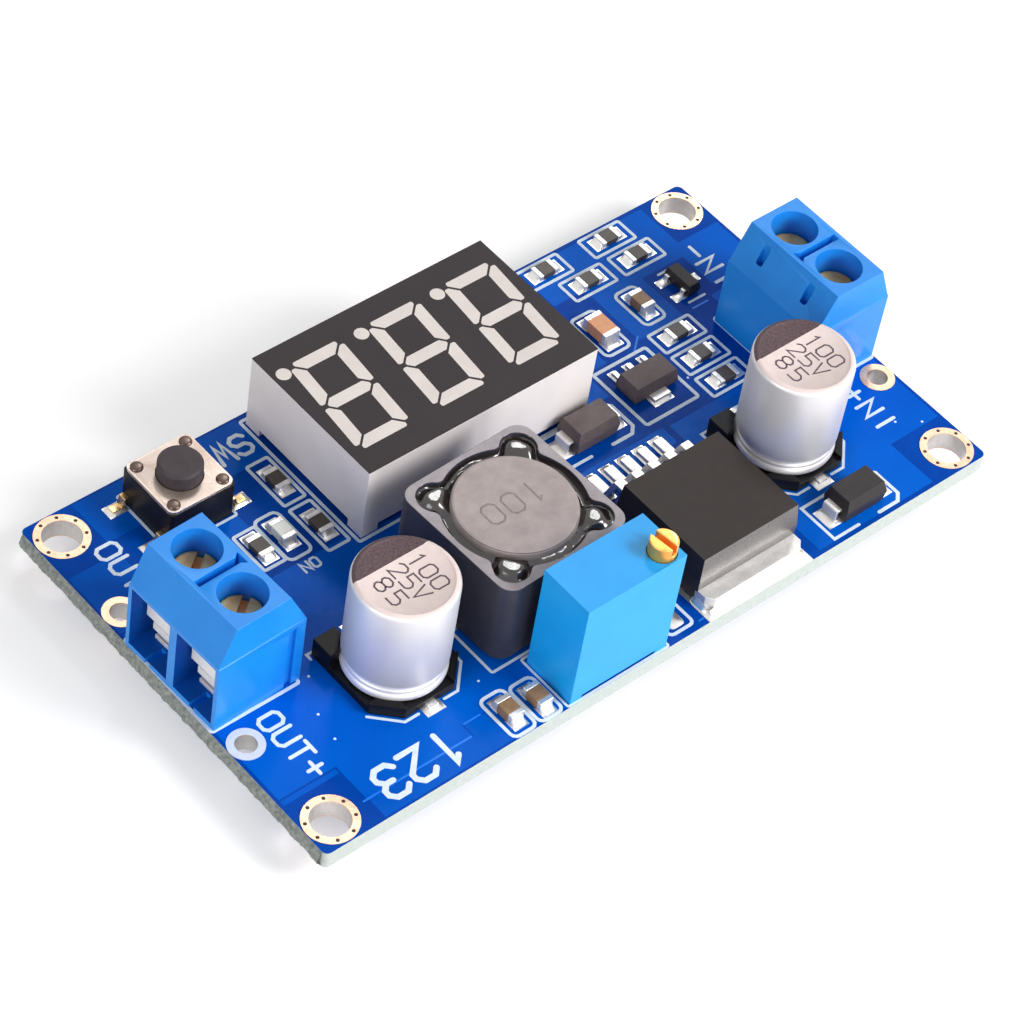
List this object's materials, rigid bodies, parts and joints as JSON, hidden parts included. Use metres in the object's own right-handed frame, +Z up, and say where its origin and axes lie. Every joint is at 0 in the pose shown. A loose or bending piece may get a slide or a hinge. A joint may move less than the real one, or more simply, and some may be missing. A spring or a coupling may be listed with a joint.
{
  "type": "buck converter module",
  "caption": "Adjustable step-down converter on a blue circuit board with readout, screw terminals, shielded inductor, trimmer and push button.",
  "frame": {"origin": "centre of the four mounting holes, on the underside of the board", "axes": "+X from the output terminal to the input terminal along the board, +Y from the trimmer edge to the readout edge, +Z up out of the component side"},
  "size_m": [0.0661, 0.036, 0.0152],
  "materials": {
    "solder_mask": "glossy blue solder mask on glass-epoxy",
    "bare_copper": "bare copper with a thin tarnish",
    "tin": "bright tinned metal",
    "readout_shell": "satin off-white",
    "readout_face": "matt dark grey film",
    "readout_light": "unlit milky white",
    "readout_board": "glass-epoxy",
    "ferrite": "dark grey ferrite",
    "copper_wire": "enamelled copper",
    "adhesive": "glossy dark adhesive",
    "can_aluminium": "satin",
    "can_plastic": "black",
    "package": "matt black epoxy",
    "trimmer_blue": "light blue",
    "screw_brass": "bright brass",
    "terminal_blue": "blue moulding",
    "zinc_yellow": "yellow passivated",
    "spring_steel": "bright",
    "button_metal": "warm satin",
    "button_black": "black",
    "button_silver": "silvered",
    "resistor_film": "dark film",
    "brown_ceramic": "grey-brown",
    "tan_ceramic": "tan",
    "indicator_white": "milky white"
  },
  "bodies": {
    "board": {"circuit_board": "solder_mask", "mounting_rings": "bare_copper", "wire_rings": "tin", "solder_lands": "tin", "solder_cones": "tin", "output_terminal_housing": "terminal_blue", "output_terminal_contacts": "tin", "input_terminal_housing": "terminal_blue", "input_terminal_contacts": "tin", "readout_case": "readout_shell", "readout_film": "readout_face", "readout_segments": "readout_light", "readout_substrate": "readout_board", "readout_pins": "tin", "inductor_shield": "ferrite", "inductor_drum": "ferrite", "inductor_winding": "copper_wire", "inductor_adhesive": "adhesive", "inductor_strips": "tin", "output_capacitor_can": "can_aluminium", "output_capacitor_base": "can_plastic", "output_capacitor_leads": "tin", "input_capacitor_can": "can_aluminium", "input_capacitor_base": "can_plastic", "input_capacitor_leads": "tin", "regulator_body": "package", "regulator_tab": "tin", "regulator_leads": "tin", "trimmer_housing": "trimmer_blue", "trimmer_pins": "tin", "button_base": "package", "button_cover": "button_metal", "button_dome": "spring_steel", "button_terminals": "button_silver", "input_diode_body": "package", "input_diode_leads": "tin", "catch_diode_body": "package", "catch_diode_leads": "tin", "linear_regulator_body": "package", "linear_regulator_leads": "tin", "transistor_body": "package", "transistor_leads": "tin", "controller_body": "package", "controller_leads": "tin", "chip_resistors": "resistor_film", "ceramic_capacitors": "brown_ceramic", "filter_capacitor": "tan_ceramic", "indicator_lamp": "indicator_white", "chip_ends": "tin"},
    "output_guard_plus": {"output_guard_plus": "spring_steel"},
    "output_screw_plus": {"output_screw_plus": "zinc_yellow"},
    "output_guard_minus": {"output_guard_minus": "spring_steel"},
    "output_screw_minus": {"output_screw_minus": "zinc_yellow"},
    "input_guard_plus": {"input_guard_plus": "spring_steel"},
    "input_screw_plus": {"input_screw_plus": "zinc_yellow"},
    "input_guard_minus": {"input_guard_minus": "spring_steel"},
    "input_screw_minus": {"input_screw_minus": "zinc_yellow"},
    "trimmer_adjuster": {"trimmer_screw": "screw_brass"},
    "button": {"button_plunger": "button_black"}
  },
  "joints": [
    {"name": "output_plus_clamping", "type": "slide", "parent": "board", "child": "output_guard_plus", "axis": [0, 0, -1], "range_m": [0, 0.0012]},
    {"name": "output_plus_turning", "type": "hinge", "parent": "output_guard_plus", "child": "output_screw_plus", "pos_m": [-0.02892, -0.0023, 0.0088], "axis": [0, 0, -1], "range_deg": [0, 960]},
    {"name": "output_minus_clamping", "type": "slide", "parent": "board", "child": "output_guard_minus", "axis": [0, 0, -1], "range_m": [0, 0.0012]},
    {"name": "output_minus_turning", "type": "hinge", "parent": "output_guard_minus", "child": "output_screw_minus", "pos_m": [-0.02908, 0.0027, 0.0088], "axis": [0, 0, -1], "range_deg": [0, 960]},
    {"name": "input_plus_clamping", "type": "slide", "parent": "board", "child": "input_guard_plus", "axis": [0, 0, -1], "range_m": [0, 0.0012]},
    {"name": "input_plus_turning", "type": "hinge", "parent": "input_guard_plus", "child": "input_screw_plus", "pos_m": [0.029, -0.00265, 0.0088], "axis": [0, 0, -1], "range_deg": [0, 960]},
    {"name": "input_minus_clamping", "type": "slide", "parent": "board", "child": "input_guard_minus", "axis": [0, 0, -1], "range_m": [0, 0.0012]},
    {"name": "input_minus_turning", "type": "hinge", "parent": "input_guard_minus", "child": "input_screw_minus", "pos_m": [0.029, 0.00235, 0.0088], "axis": [0, 0, -1], "range_deg": [0, 960]},
    {"name": "trimmer_turning", "type": "hinge", "parent": "board", "child": "trimmer_adjuster", "pos_m": [-0.00218, -0.0165, 0.0133], "axis": [0, 0, -1], "continuous": true},
    {"name": "button_press", "type": "slide", "parent": "board", "child": "button", "axis": [0, 0, -1], "range_m": [0, 0.00025], "stiffness_N_per_m": 4000, "springref_m": -0.0001, "deforming": ["button_dome"]}
  ],
  "couplings": [
    {"joint": "output_plus_turning", "follows": "output_plus_clamping", "rad_per_m": 13963},
    {"joint": "output_minus_turning", "follows": "output_minus_clamping", "rad_per_m": 13963},
    {"joint": "input_plus_turning", "follows": "input_plus_clamping", "rad_per_m": 13963},
    {"joint": "input_minus_turning", "follows": "input_minus_clamping", "rad_per_m": 13963}
  ]
}
